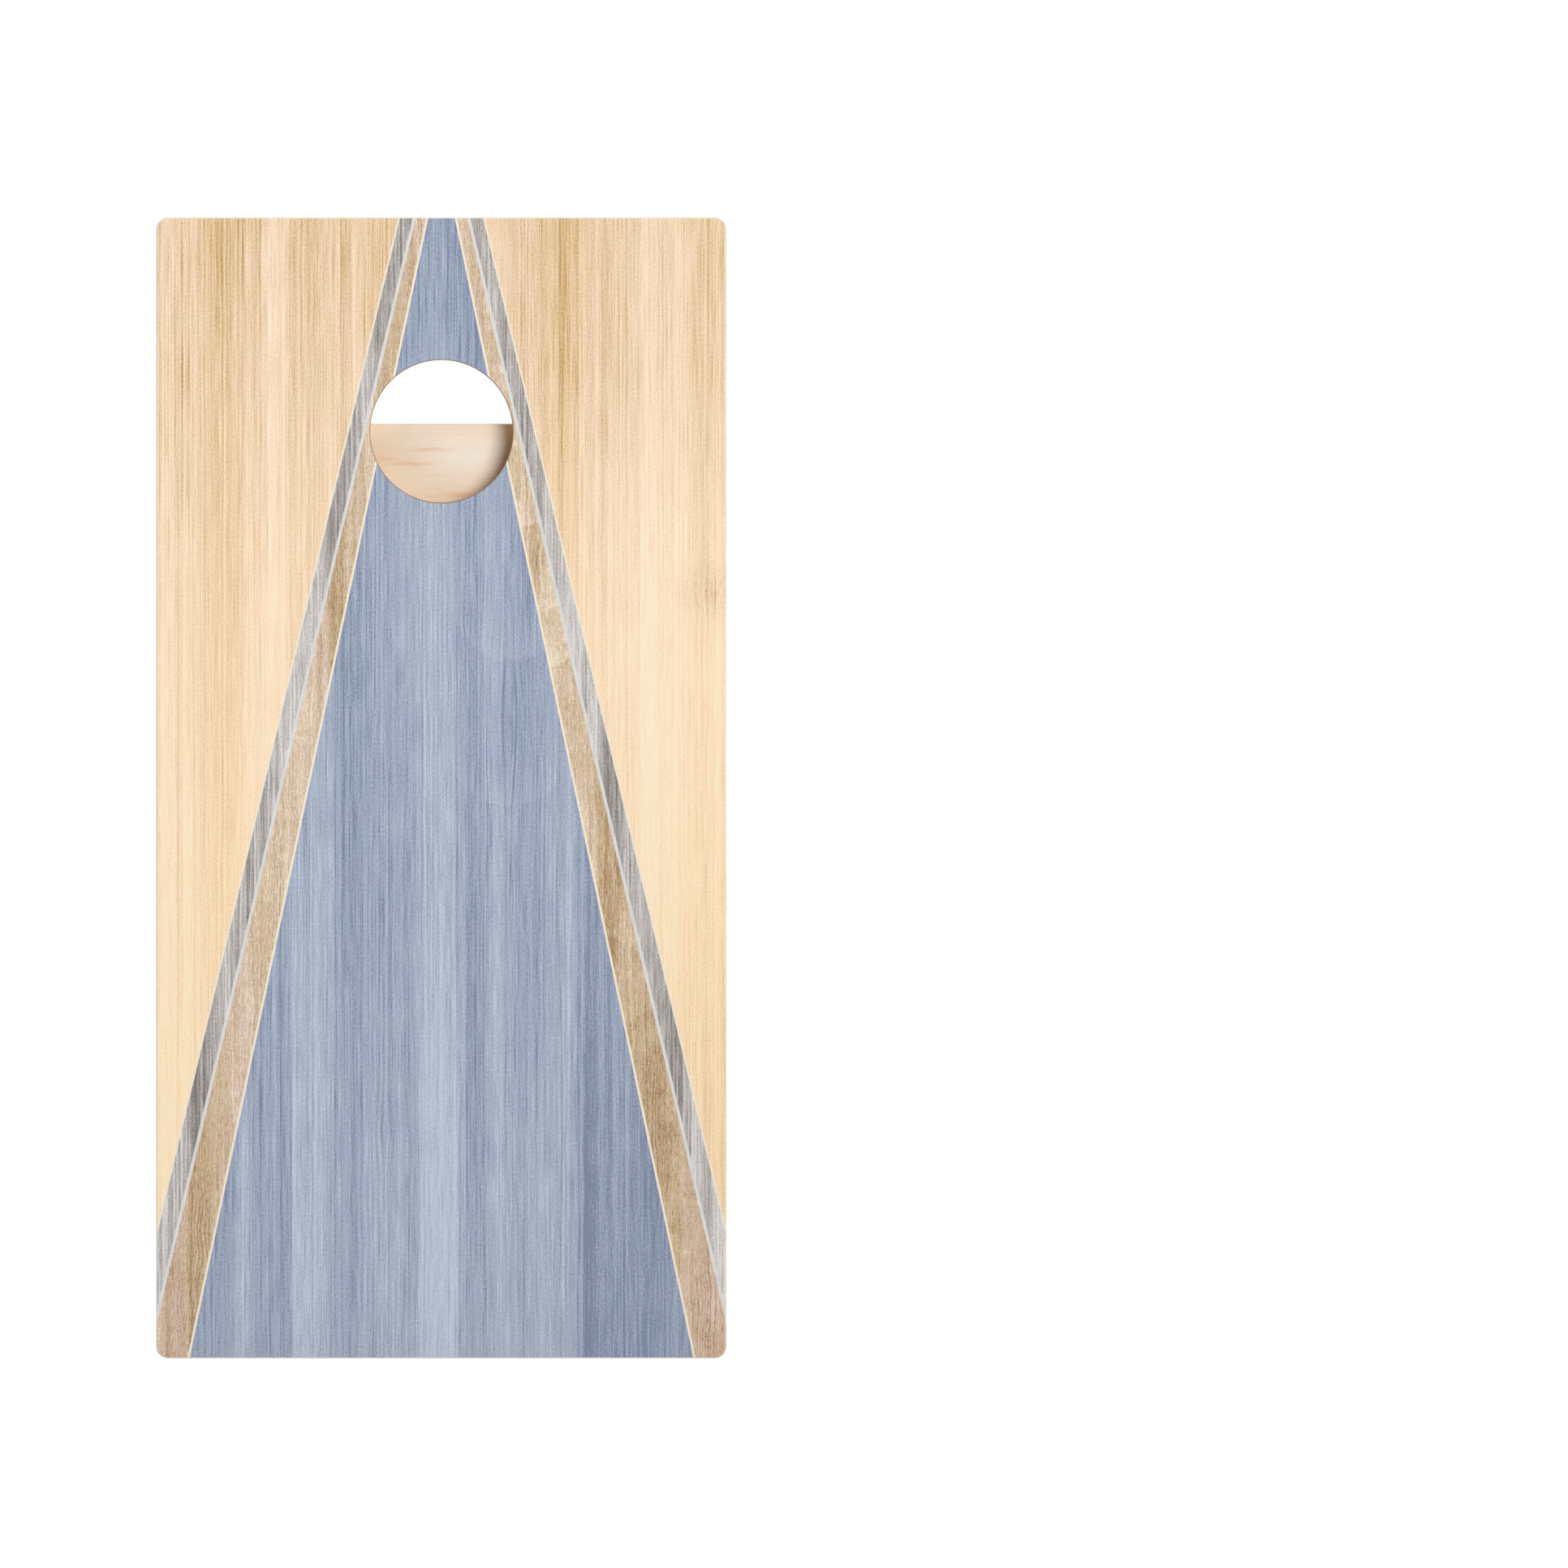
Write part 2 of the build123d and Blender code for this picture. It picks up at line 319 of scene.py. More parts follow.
# Faint pale bowls in its figure: middle, reach and strength of each
BLUE_BOWLS = (
    ((0.075, 0.822), (0.068, 0.078), 0.13),
    ((0.072, 0.664), (0.068, 0.076), 0.10),
)

# How the natural wood darkens towards the hole end: height and tone
NATURAL_HEIGHTS_LEFT = (
    (0.0, 0.85),
    (0.3, 0.87),
    (0.6, 0.79),
    (0.8, 0.71),
    (1.0, 0.57),
    (1.21, 0.46),
)
NATURAL_HEIGHTS_RIGHT = (
    (0.0, 0.54),
    (0.18, 0.58),
    (0.30, 0.67),
    (0.50, 0.77),
    (0.72, 0.82),
    (0.90, 0.70),
    (1.05, 0.52),
    (1.21, 0.46),
)
NATURAL_KNOT_RIGHT = ((0.290, 0.819), (0.046, 0.040))

# Broad bands of the natural wood: where across the board, and what tone
NATURAL_BANDS_LEFT = (
    (-0.300, 0.54),
    (-0.282, 0.50),
    (-0.2805, 0.32),
    (-0.279, 0.51),
    (-0.262, 0.49),
    (-0.246, 0.32),
    (-0.2445, 0.14),
    (-0.243, 0.30),
    (-0.222, 0.32),
    (-0.208, 0.45),
    (-0.194, 0.45),
    (-0.1925, 0.28),
    (-0.191, 0.58),
    (-0.182, 0.70),
    (-0.166, 0.52),
    (-0.158, 0.38),
    (-0.148, 0.47),
    (-0.137, 0.36),
    (-0.120, 0.50),
    (-0.1085, 0.45),
    (-0.107, 0.24),
    (-0.1055, 0.45),
    (-0.0935, 0.46),
    (-0.092, 1.10),
    (-0.0905, 0.46),
    (-0.0755, 0.44),
    (-0.074, 0.22),
    (-0.0725, 0.42),
    (-0.050, 0.44),
)
NATURAL_BANDS_RIGHT = (
    (0.045, 0.50),
    (0.055, 0.62),
    (0.072, 0.46),
    (0.100, 0.40),
    (0.110, 0.29),
    (0.118, 0.36),
    (0.126, 0.22),
    (0.139, 0.32),
    (0.1435, 0.42),
    (0.145, 0.14),
    (0.1465, 0.48),
    (0.160, 0.50),
    (0.172, 0.38),
    (0.190, 0.50),
    (0.205, 0.46),
    (0.220, 0.66),
    (0.236, 0.52),
    (0.250, 0.64),
    (0.270, 0.50),
    (0.285, 0.42),
    (0.300, 0.50),
)

# Pale ends of growth arcs in the tan stripes: height at the board's middle, how much each
# falls for a metre across, how far it fades upwards and how strong it is
TAN_ARCS_LEFT = (
    (0.700, -0.20, 0.060, 0.08),
    (0.470, 0.10, 0.050, 0.06),
)
TAN_ARCS_RIGHT = (
    (0.861, -0.31, 0.055, 0.26),
    (0.765, -0.30, 0.045, 0.18),
    (0.666, -0.60, 0.045, 0.26),
    (0.560, 0.60, 0.080, 0.12),
    (0.260, -0.50, 0.060, 0.14),
)

# Where across the board the natural wood is more golden, and by how much
NATURAL_GOLD_LEFT = (
    (-0.258, 0.0),
    (-0.244, 0.5),
    (-0.228, 0.5),
    (-0.205, 0.0),
    (-0.090, 0.0),
    (-0.070, 0.4),
)
NATURAL_GOLD_RIGHT = (
    (0.104, 0.0),
    (0.116, 0.5),
    (0.146, 0.4),
    (0.156, 0.0),
    (0.240, 0.0),
    (0.270, 0.3),
)

# Staves of the grey stripes
GREY_STAVES_LEFT = (
    (-0.300, 0.72),
    (-0.291, 0.55),
    (-0.279, 0.71),
    (-0.271, 0.60),
    (-0.270, 0.20),
    (-0.252, 0.34),
    (-0.237, 0.52),
    (-0.231, 0.68),
    (-0.222, 0.54),
    (-0.200, 0.48),
    (-0.181, 0.56),
    (-0.180, 0.71),
    (-0.145, 0.72),
    (-0.121, 0.58),
    (-0.120, 0.26),
    (-0.091, 0.46),
    (-0.090, 0.68),
    (-0.073, 0.52),
    (-0.071, 0.28),
    (-0.040, 0.44),
)
GREY_STAVES_RIGHT = (
    (0.040, 0.38),
    (0.052, 0.56),
    (0.078, 0.52),
    (0.106, 0.42),
    (0.111, 0.68),
    (0.124, 0.52),
    (0.134, 0.78),
    (0.168, 0.68),
    (0.169, 0.30),
    (0.186, 0.34),
    (0.200, 0.52),
    (0.216, 0.54),
    (0.250, 0.26),
    (0.257, 0.36),
    (0.259, 0.70),
    (0.272, 0.78),
    (0.285, 0.60),
    (0.299, 0.88),
)

# Staves of the tan stripes
TAN_STAVES_LEFT = (
    (-0.303, 0.62),
    (-0.291, 0.32),
    (-0.279, 0.54),
    (-0.271, 0.48),
    (-0.269, 0.26),
    (-0.249, 0.39),
    (-0.231, 0.54),
    (-0.213, 0.64),
    (-0.192, 0.57),
    (-0.165, 0.73),
    (-0.141, 0.67),
    (-0.121, 0.52),
    (-0.119, 0.23),
    (-0.104, 0.29),
    (-0.102, 0.43),
    (-0.085, 0.52),
    (-0.074, 0.71),
    (-0.072, 0.39),
    (-0.052, 0.49),
    (-0.033, 0.45),
    (-0.021, 0.65),
)
TAN_STAVES_RIGHT = (
    (0.020, 0.86),
    (0.039, 0.70),
    (0.057, 0.86),
    (0.070, 0.70),
    (0.074, 0.88),
    (0.088, 0.86),
    (0.101, 0.66),
    (0.112, 0.84),
    (0.135, 0.78),
    (0.167, 0.73),
    (0.169, 0.31),
    (0.192, 0.51),
    (0.214, 0.57),
    (0.225, 0.49),
    (0.245, 0.51),
    (0.259, 0.62),
    (0.270, 0.64),
    (0.287, 0.57),
    (0.303, 0.67),
)
# How pink the same staves are: 0 is golden and 1 is rosy.
TAN_ROSES_LEFT = (
    (-0.303, 1.0),
    (-0.271, 0.8),
    (-0.269, 0.1),
    (-0.245, 0.1),
    (-0.235, 0.5),
    (-0.212, 0.9),
    (-0.188, 0.3),
    (-0.150, 0.5),
    (-0.121, 1.0),
    (-0.119, 0.15),
    (-0.104, 0.2),
    (-0.100, 0.5),
    (-0.050, 0.2),
    (-0.025, 0.9),
)
TAN_ROSES_RIGHT = (
    (0.020, 0.55),
    (0.090, 0.45),
    (0.105, 0.3),
    (0.140, 0.5),
    (0.167, 0.4),
    (0.169, 0.0),
    (0.200, 0.25),
    (0.245, 0.15),
    (0.258, 0.3),
    (0.260, 0.75),
    (0.303, 1.0),
)


def grain(paint, x, across, along, seed, detail=1.0):
    """Streaks up the board, each about this wide and this long."""
    return paint.noise(x / across + seed, seed, paint.z / along, detail)


def growth_lines(paint, x, spacing, seed, wander):
    """Long growth lines up the board, about this far apart, some dark and some faint.

    They run from 0 on the light side of a line to 1 at its dark edge.
    """
    bunching = paint.noise(x / 0.014, seed, paint.z / 3.0) * 0.009
    drift = paint.noise(x / 0.08, seed + 4.0, paint.z / 0.60) * wander
    rings = (x + bunching + drift) / spacing
    edge = paint.ramp(rings.math("FRACT"), ((0.0, 0.0), (0.45, 0.15), (0.8, 1.0), (1.0, 0.0)))
    depth = paint.noise(rings.math("FLOOR") * 0.73, seed, paint.z / 0.70) * 2.6 + 0.5
    presence = (paint.noise(x / 0.040, seed + 8.0, paint.z / 1.5) * 5.0 + 0.75).clamped()
    return edge * depth * presence


def pencil_lines(paint, x, gap, seed):
    """Thin dark lines up the board, at uneven distances of about this much."""
    place = paint.noise(x / gap, seed, paint.z / 1.1)
    line = (1.0 - place.math("ABSOLUTE") * 34.0).clamped()
    depth = (paint.noise(x / 0.020, seed + 2.0, paint.z / 0.30) * 4.0 + 0.5).clamped()
    return line * depth


def knot(paint, middle, reach):
    """How near the surface is to a hidden knot: 1 at its middle, 0 beyond its reach."""
    across = (paint.x - middle[0]) / reach[0]
    up = (paint.z - middle[1]) / reach[1]
    near = (1.0 - (across * across + up * up).math("SQRT")).clamped()
    return near * near


def flowing_round(paint, x, knots, amount):
    """The place across the board, shifted so that the grain flows round each knot."""
    for middle, reach in knots:
        x = x - (paint.x - middle[0]) * knot(paint, middle, reach) * amount
    return x


def bowl(paint, middle, reach):
    """The lower half of a pale oval: 1 just inside its sharp edge, fading inwards."""
    wobble = paint.noise(paint.x / 0.012, middle[1] * 9.0, paint.z / 0.030) * 0.10
    across = (paint.x - middle[0]) / reach[0]
    up = (paint.z - middle[1]) / reach[1]
    distance = (across * across + up * up).math("SQRT") + wobble
    inside = paint.ramp(distance, ((0.35, 0.0), (0.93, 1.0), (0.96, 1.0), (1.0, 0.0)))
    return inside * paint.ramp(0.0 - up, ((0.0, 0.0), (0.6, 1.0)))


def side_tone(paint, stops):
    """A tone that changes across the board, from (distance from the middle, tone) stops."""
    half = board_width / 2
    stops = [((place + half) / board_width, tone) for place, tone in stops]
    return paint.ramp(paint.x / board_width + 0.5, stops)


def height_tone(paint, stops):
    """A tone that changes up the board, from (height, tone) stops."""
    stops = [(height / board_top, tone) for height, tone in stops]
    return paint.ramp(paint.z / board_top, stops)


FILM_ROUGHNESS = 0.46


def printed(paint, tone, colours, speckle_share, golden=None):
    """A printed wood under a satin film, its tone looked up in a list of colours.

    Where golden is 1, the colours are yellower.
    """
    speckle = paint.noise(paint.x / 0.0022, 0.0, paint.z / 0.0026, 2.0, 0.7)
    skin = paint.noise(paint.x / 0.004, 0.0, paint.z / 0.004)
    tone = tone + speckle * speckle_share
    colour = paint.ramp(tone, colours)
    if golden is not None:
        yellower = [(place, (r, g * 0.99, b * 0.925)) for place, (r, g, b) in colours]
        colour = paint.mix(golden, colour, paint.ramp(tone, yellower))
    roughness = FILM_ROUGHNESS + skin * 0.12
    return paint.finish(colour, roughness, height=speckle, depth=0.00002)


def natural_print(name, seed, heights, bands, gold, knots=()):
    """Pale natural wood: fine straight lines over broad golden bands."""
    paint = Paint(name)
    x = flowing_round(paint, paint.x, knots, 0.3)
    lines = growth_lines(paint, x, 0.0036, seed, 0.008)
    streaks = grain(paint, x, 0.0024, 1.20, seed + 3)
    hairs = grain(paint, x, 0.0013, 0.060, seed + 5)
    ribbons = grain(paint, x, 0.009, 1.20, seed + 7)
    patches = grain(paint, paint.x, 0.035, 0.22, seed + 9, 2.0)
    # The figure is strongest at the hole end and fades towards the foot of the board.
    strength = height_tone(paint, ((0.0, 0.84), (0.6, 0.76), (1.2, 0.96)))
    shown = height_tone(paint, ((0.0, 0.6), (0.5, 0.7), (0.8, 0.85), (1.2, 0.9)))
    pencils = pencil_lines(paint, x, 0.0075, seed + 13)
    figure = streaks * 0.8 + hairs * 1.0 + ribbons * 0.35 + patches * 0.2
    figure = figure - lines * 0.22 - pencils * 0.28 + 0.06
    banding = shown * (side_tone(paint, bands) - 0.5)
    tone = height_tone(paint, heights) + strength * figure + banding
    foot_gold = height_tone(paint, ((0.30, 0.85), (0.77, 0.45), (1.15, 0.0)))
    golden = foot_gold + side_tone(paint, gold)
    for middle, reach in knots:
        swirl = paint.noise(x / 0.0026, seed, paint.z / 0.010, 2.0)
        near = knot(paint, middle, reach).math("SQRT")
        tone = tone - near * (swirl * 1.05 + 0.28)
        golden = golden - near * 0.4
    return printed(paint, tone, NATURAL_TONES, 0.85, golden)


def blue_print():
    """Blue-grey stained wood, glued up from upright staves of different tones."""
    paint = Paint("print_blue_wood")
    foot_staves = side_tone(paint, BLUE_STAVES_FOOT)
    middle_staves = side_tone(paint, BLUE_STAVES_MIDDLE)
    foot_share = height_tone(paint, ((0.20, 1.0), (0.45, 0.0)))
    staves = middle_staves + (foot_staves - middle_staves) * foot_share
    contrast = height_tone(paint, ((0.25, 1.25), (0.6, 1.0), (0.9, 0.7), (1.15, 0.0)))
    x = flowing_round(paint, paint.x, BLUE_KNOTS, 0.9)
    lines = growth_lines(paint, x, 0.0042, 31.0, 0.022)
    streaks = grain(paint, x, 0.0024, 0.80, 33.0)
    hairs = grain(paint, x, 0.0013, 0.050, 35.0)
    ribbons = grain(paint, x, 0.009, 0.90, 37.0)
    clouds = grain(paint, paint.x, 0.040, 0.12, 39.0, 2.0)
    pencils = pencil_lines(paint, x, 0.0070, 41.0)
    figure = streaks * 1.0 + hairs * 1.3 + ribbons * 0.45 + clouds * 0.15
    figure = figure - lines * 0.38 - pencils * 0.34 + 0.08
    # The stain has gathered along both slanted borders.
    aside = paint.math("ABSOLUTE", paint.x)
    from_border = (board_top - paint.z) * BLUE_EDGE[1] + BLUE_EDGE[0] - aside
    gathered = paint.ramp(from_border / 0.1, ((0.0, 1.0), (0.10, 0.45), (0.35, 0.0)))
    tone = height_tone(paint, BLUE_HEIGHTS) + contrast * (staves - 0.5) + figure - gathered * 0.10
    for middle, reach in BLUE_KNOTS:
        tone = tone - knot(paint, middle, reach) * 0.22
    for middle, reach, strength in BLUE_BOWLS:
        tone = tone + bowl(paint, middle, reach) * strength
    return printed(paint, tone, BLUE_TONES, 1.3)


def arc(paint, height, tilt, reach):
    """The pale end of a growth arc: 1 just above its sharp lower edge, fading upwards."""
    wobble = paint.noise(paint.x / 0.014, height * 9.0, 0.0) * 0.007
    up = (paint.z - height + paint.x * tilt + wobble) / reach
    return paint.ramp(up, ((0.0, 0.0), (0.03, 1.0), (1.0, 0.0)))


def tan_print(name, seed, staves, roses, mottle, arcs):
    """Brown hardwood with short fibres, pink here and golden there."""
    paint = Paint(name)
    sway = paint.noise(paint.x / 0.03, seed, paint.z / 0.06) * 0.012
    x = paint.x + sway
    lines = growth_lines(paint, x, 0.0030, seed + 2, 0.02)
    streaks = grain(paint, x, 0.0024, 0.16, seed + 3)
    fibres = grain(paint, x, 0.0013, 0.009, seed + 5)
    ribbons = grain(paint, x, 0.010, 0.16, seed + 7)
    blotches = paint.noise(paint.x / 0.024, seed, paint.z / 0.036)
    speckle = paint.noise(paint.x / 0.0016, seed, paint.z / 0.0022, 2.0, 0.7)
    figure = streaks * 1.0 + fibres * 1.1 + ribbons * 0.4 + blotches * mottle + speckle * 1.3
    tone = side_tone(paint, staves) + figure - lines * 0.40 + 0.09
    for height, tilt, reach, strength in arcs:
        tone = tone + arc(paint, height, tilt, reach) * strength - strength * 0.2
    gold = paint.ramp(tone, [(at, (r, g, b * 0.98)) for at, (r, g, b) in TAN_TONES])
    pink = paint.ramp(tone, [(at, (r, g * 0.985, b * 1.05)) for at, (r, g, b) in TAN_TONES])
    pinkness = (grain(paint, x, 0.014, 0.20, seed + 11) * 1.2 + side_tone(paint, roses)).clamped()
    colour = paint.mix(pinkness, gold, pink)
    return paint.finish(colour, FILM_ROUGHNESS, height=fibres, depth=0.00003)


def grey_print(name, seed, staves):
    """Weathered grey wood with long dark lines."""
    paint = Paint(name)
    lines = growth_lines(paint, paint.x, 0.0044, seed, 0.02)
    streaks = grain(paint, paint.x, 0.0026, 0.40, seed + 3)
    hairs = grain(paint, paint.x, 0.0014, 0.030, seed + 5)
    figure = streaks * 1.3 + hairs * 1.1 - lines * 0.50 + 0.08
    return printed(paint, side_tone(paint, staves) + figure, GREY_TONES, 0.9)


def line_print(name, colour, unevenness):
    """A thin line of one colour, as uneven as ink over grain."""
    paint = Paint(name)
    streaks = grain(paint, paint.x, 0.0014, 0.03, 71.0)
    red, green, blue = colour
    darker = (red * 0.86, green * 0.86, blue * 0.87)
    shade = (streaks * 2.0 * unevenness + 0.5 * unevenness).clamped()
    return paint.finish(paint.mix(shade, colour, darker), FILM_ROUGHNESS)


# Corners closer than this are one corner
WELD_DISTANCE = 1e-6


def outside(border, side):
    """The plane of a border, facing away from the board's middle on this side."""
    start, gain = border
    normal = Vector((side, 0.0, gain))
    return Vector((side * start, 0.0, board_top)), normal


def cut(mesh, plane, keep_outside):
    """Cuts a closed mesh along a plane, keeps one part and closes the cut."""
    place, normal = plane
    geometry = mesh.verts[:] + mesh.edges[:] + mesh.faces[:]
    bmesh.ops.bisect_plane(
        mesh,
        geom=geometry,
        plane_co=place,
        plane_no=normal,
        clear_inner=keep_outside,
        clear_outer=not keep_outside,
    )
    rim = [edge for edge in mesh.edges if edge.is_boundary]
    bmesh.ops.holes_fill(mesh, edges=rim, sides=0)


def new_piece(name, mesh, material, body):
    """Makes an object of a bmesh, riding on a body."""
    data = bpy.data.meshes.new(name)
    mesh.to_mesh(data)
    mesh.free()
    data.materials.append(material)
    piece = bpy.data.objects.new(name, data)
    bpy.context.scene.collection.objects.link(piece)
    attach(piece, body)
    return piece


def print_piece(name, material, inner=None, outer=None, side=1):
    """The part of the film between two borders on one side, or across both sides."""
    mesh = bmesh.new()
    mesh.from_mesh(frame["nodes"]["deck_graphic"].data)
    bmesh.ops.remove_doubles(mesh, verts=mesh.verts[:], dist=WELD_DISTANCE)
    if inner is None:
        cut(mesh, outside(outer, 1), False)
        cut(mesh, outside(outer, -1), False)
    else:
        cut(mesh, outside(inner, side), True)
        if outer is not None:
            cut(mesh, outside(outer, side), False)
    flat = math.radians(0.5)
    bmesh.ops.dissolve_limit(mesh, angle_limit=flat, verts=mesh.verts[:], edges=mesh.edges[:])
    bmesh.ops.recalc_face_normals(mesh, faces=mesh.faces[:])
    return new_piece(name, mesh, material, "board")


def printed_deck():
    """All pieces of the printed film, cut from the CAD film, which is then hidden. The first of
    them stands for the CAD film.
    """
    cream = line_print("print_cream_line", (250, 236, 215), 0.3)
    white = line_print("print_white_line", (232, 230, 227), 0.8)
    greys = {
        -1: grey_print("print_grey_left", 61.0, GREY_STAVES_LEFT),
        1: grey_print("print_grey_right", 77.0, GREY_STAVES_RIGHT),
    }
    tans = {
        -1: tan_print(
            "print_tan_left",
            43.0,
            TAN_STAVES_LEFT,
            TAN_ROSES_LEFT,
            0.3,
            TAN_ARCS_LEFT,
        ),
        1: tan_print(
            "print_tan_right",
            52.0,
            TAN_STAVES_RIGHT,
            TAN_ROSES_RIGHT,
            0.5,
            TAN_ARCS_RIGHT,
        ),
    }
    naturals = {
        -1: natural_print(
            "print_natural_left",
            1.0,
            NATURAL_HEIGHTS_LEFT,
            NATURAL_BANDS_LEFT,
            NATURAL_GOLD_LEFT,
        ),
        1: natural_print(
            "print_natural_right",
            14.0,
            NATURAL_HEIGHTS_RIGHT,
            NATURAL_BANDS_RIGHT,
            NATURAL_GOLD_RIGHT,
            (NATURAL_KNOT_RIGHT,),
        ),
    }
    pieces = [print_piece("print_blue_field", blue_print(), outer=BLUE_EDGE)]
    for side, hand in ((-1, "left"), (1, "right")):
        pieces += [
            print_piece(f"print_cream_{hand}", cream, BLUE_EDGE, TAN_START, side),
            print_piece(f"print_tan_{hand}", tans[side], TAN_START, TAN_EDGE, side),
            print_piece(f"print_white_{hand}", white, TAN_EDGE, GREY_START, side),
            print_piece(f"print_grey_{hand}", greys[side], GREY_START, GREY_EDGE, side),
            print_piece(f"print_edge_{hand}", cream, GREY_EDGE, NATURAL_START, side),
            print_piece(f"print_natural_{hand}", naturals[side], NATURAL_START, None, side),
        ]
    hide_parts("deck_graphic")


printed_deck()

# ---------------------------------------------------------------- timber


def facing(paint, axis):
    """How squarely the surface faces along an axis, from 0 to 1."""
    geometry = paint.add("ShaderNodeNewGeometry")
    parts = paint.add("ShaderNodeSeparateXYZ")
    paint.tree.links.new(geometry.outputs["Normal"], parts.inputs[0])
    return Field(paint, parts.outputs["XYZ".index(axis)]).math("ABSOLUTE")


PLIES = 9
PLY_LIGHT = ((0.0, (205, 170, 122)), (1.0, (240, 216, 176)))
PLY_DARK = ((0.0, (140, 98, 58)), (1.0, (196, 152, 104)))
PLY_GLUE = (92, 62, 38)
VENEER = ((0.1, (206, 174, 130)), (0.9, (240, 216, 177)))
# Painted highlight: the pale colour of the rounded rim round the playing face
ARRIS_PAINTED_HIGHLIGHT = (240, 230, 214)
ARRIS_IN_HOLE = (158, 130, 108)
HOLE_SURROUND = 0.09


def plywood():
    """Birch plywood: plies of alternate grain on the edges, plain veneer on the faces."""
    paint = Paint("birch_plywood")
    depth = (paint.y - deck_low.y) / (deck_high.y - deck_low.y) * PLIES
    wavy = depth + paint.noise(paint.x / 0.03, 0.0, paint.z / 0.03) * 0.25
    layer = wavy.math("FRACT")
    crossed = (wavy * 0.5).math("FRACT").math("GREATER_THAN", 0.5)
    fibre = paint.noise(paint.x / 0.0008, paint.y / 0.0004, paint.z / 0.0008, 2.0)
    streak = paint.noise(paint.x / 0.012, paint.y / 0.0004, paint.z / 0.012, 2.0)
    light = paint.ramp(0.5 + fibre * 0.9 + streak * 0.5, PLY_LIGHT)
    dark = paint.ramp(0.5 + fibre * 1.1 + streak * 0.6, PLY_DARK)
    edge = paint.mix(crossed, light, dark)
    glue = paint.ramp(layer, ((0.0, 1.0), (0.06, 0.0), (0.94, 0.0), (1.0, 1.0)))
    edge = paint.mix(glue * 0.55, edge, PLY_GLUE)
    lines = paint.noise(paint.x / 0.0016, 3.0, paint.z / 0.060, 2.0)
    pores = paint.noise(paint.x / 0.0006, 4.0, paint.z / 0.006, 1.0)
    cloud = paint.noise(paint.x / 0.06, 5.0, paint.z / 0.25, 2.0)
    flow = paint.noise(paint.x / 0.10, 6.0, paint.z / 0.35) * 1.2 + paint.x / 0.028
    arches = paint.ramp(flow.math("FRACT"), ((0.0, 0.0), (0.7, 0.4), (0.9, 1.0), (1.0, 0.0)))
    figure = 0.56 + lines * 0.5 + pores * 0.5 + cloud * 0.6 - arches * 0.16
    face = paint.ramp(figure, VENEER)
    flat = paint.ramp(facing(paint, "Y"), ((0.75, 0.0), (0.95, 1.0)))
    wood = paint.mix(flat, edge, face)
    # The arris round the playing face is painted pale outside the hole, a painted highlight on
    # its rounded edge, and left brown in the hole.
    front = (paint.y - deck_low.y) / (deck_high.y - deck_low.y)
    arris = paint.ramp(front, ((0.085, 1.0), (0.10, 0.0)))
    aside = paint.math("ABSOLUTE", paint.x)
    above = paint.math("ABSOLUTE", paint.z - hole_height)
    inner = (aside * aside + above * above).math("SQRT").math("LESS_THAN", HOLE_SURROUND)
    # Painted highlight on the rim outside the hole, brown cut edge inside it.
    rim_highlight_and_hole_brown = paint.mix(inner, ARRIS_PAINTED_HIGHLIGHT, ARRIS_IN_HOLE)
    colour = paint.mix(arris, wood, rim_highlight_and_hole_brown)
    return paint.finish(colour, 0.55 + fibre * 0.1, height=fibre, depth=0.00006)


def flame(paint, middle, reach, seed, raggedness=2.4):
    """A soft tongue in the figure, 1 at its middle and 0 beyond its reach."""
    wobble = paint.noise(paint.x / 0.016 + seed, seed, paint.z / 0.006)
    across = (paint.x - middle[0]) / reach[0]
    up = (paint.z - middle[1]) / reach[1] + wobble * raggedness
    return (1.0 - (across * across + up * up).math("SQRT")).clamped()


PINE_DARK = (228, 203, 172)
PINE_PALE = (250, 236, 214)
PINE_LATE_WOOD = (214, 165, 122)
PINE_FLAME = (218, 174, 138)
KNOT_HEART = ((0.0, (170, 116, 72)), (1.0, (214, 164, 116)))
KNOT_RIM = (112, 70, 42)
KNOT_EYE_STOPS = ((0.0, 1.0), (0.7, 0.8), (1.0, 0.0))
KNOT_RIM_STOPS = ((0.0, 0.5), (0.12, 0.0), (0.62, 0.0), (0.84, 1.0), (1.0, 0.0))
RING_GAP = 0.0042


